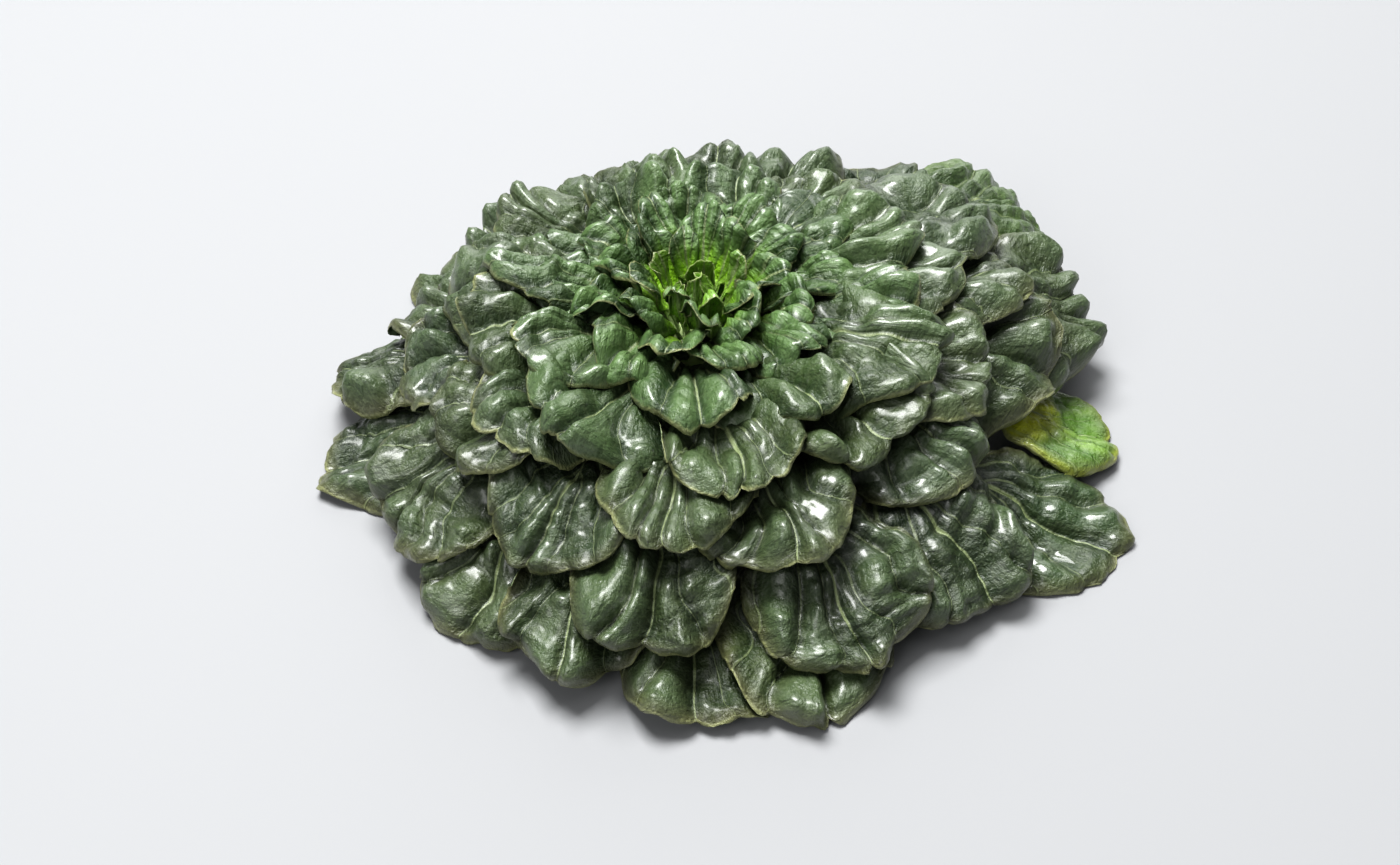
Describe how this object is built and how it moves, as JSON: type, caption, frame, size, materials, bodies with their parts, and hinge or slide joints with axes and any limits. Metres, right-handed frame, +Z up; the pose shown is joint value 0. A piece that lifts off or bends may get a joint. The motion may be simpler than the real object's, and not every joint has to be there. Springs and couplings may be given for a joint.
{
  "type": "tatsoi head",
  "caption": "Whole head of tatsoi: a low, dense rosette of dark green spoon-shaped leaves round a short pale crown, cut flat at the base.",
  "frame": {"origin": "centre of the crown's cut face, on the table", "axes": "+Z up through the heart of the rosette, -Y towards the viewer's side, +X to the right"},
  "size_m": [0.2788, 0.2581, 0.0758],
  "materials": {
    "crown": "satin",
    "outer_leaf": "satin",
    "middle_leaf": "satin",
    "inner_leaf": "satin",
    "heart_leaf": "satin",
    "yellowed_leaf": "satin"
  },
  "bodies": {
    "root": {"crown": "crown", "outer_leaf_01": "outer_leaf", "outer_leaf_02": "outer_leaf", "outer_leaf_03": "outer_leaf", "outer_leaf_04": "outer_leaf", "outer_leaf_05": "outer_leaf", "outer_leaf_06": "outer_leaf", "outer_leaf_07": "yellowed_leaf", "outer_leaf_08": "outer_leaf", "outer_leaf_09": "outer_leaf", "outer_leaf_10": "outer_leaf", "outer_leaf_11": "outer_leaf", "outer_leaf_12": "outer_leaf", "outer_leaf_13": "outer_leaf", "outer_leaf_14": "outer_leaf", "outer_leaf_15": "outer_leaf", "outer_leaf_16": "outer_leaf", "outer_leaf_17": "outer_leaf", "outer_leaf_18": "outer_leaf", "outer_leaf_19": "outer_leaf", "middle_leaf_20": "middle_leaf", "middle_leaf_21": "middle_leaf", "middle_leaf_22": "middle_leaf", "middle_leaf_23": "middle_leaf", "middle_leaf_24": "middle_leaf", "middle_leaf_25": "middle_leaf", "middle_leaf_26": "middle_leaf", "middle_leaf_27": "middle_leaf", "middle_leaf_28": "middle_leaf", "middle_leaf_29": "middle_leaf", "middle_leaf_30": "middle_leaf", "middle_leaf_31": "middle_leaf", "middle_leaf_32": "middle_leaf", "middle_leaf_33": "middle_leaf", "middle_leaf_34": "middle_leaf", "middle_leaf_35": "middle_leaf", "middle_leaf_36": "middle_leaf", "middle_leaf_37": "middle_leaf", "middle_leaf_38": "middle_leaf", "inner_leaf_39": "inner_leaf", "inner_leaf_40": "inner_leaf", "inner_leaf_41": "inner_leaf", "inner_leaf_42": "inner_leaf", "inner_leaf_43": "inner_leaf", "inner_leaf_44": "inner_leaf", "inner_leaf_45": "inner_leaf", "inner_leaf_46": "inner_leaf", "inner_leaf_47": "inner_leaf", "inner_leaf_48": "inner_leaf", "inner_leaf_49": "inner_leaf", "inner_leaf_50": "inner_leaf", "inner_leaf_51": "inner_leaf", "inner_leaf_52": "inner_leaf", "inner_leaf_53": "inner_leaf", "inner_leaf_54": "inner_leaf", "inner_leaf_55": "inner_leaf", "inner_leaf_56": "inner_leaf", "inner_leaf_57": "inner_leaf", "heart_rosette": "heart_leaf"}
  },
  "joints": []
}
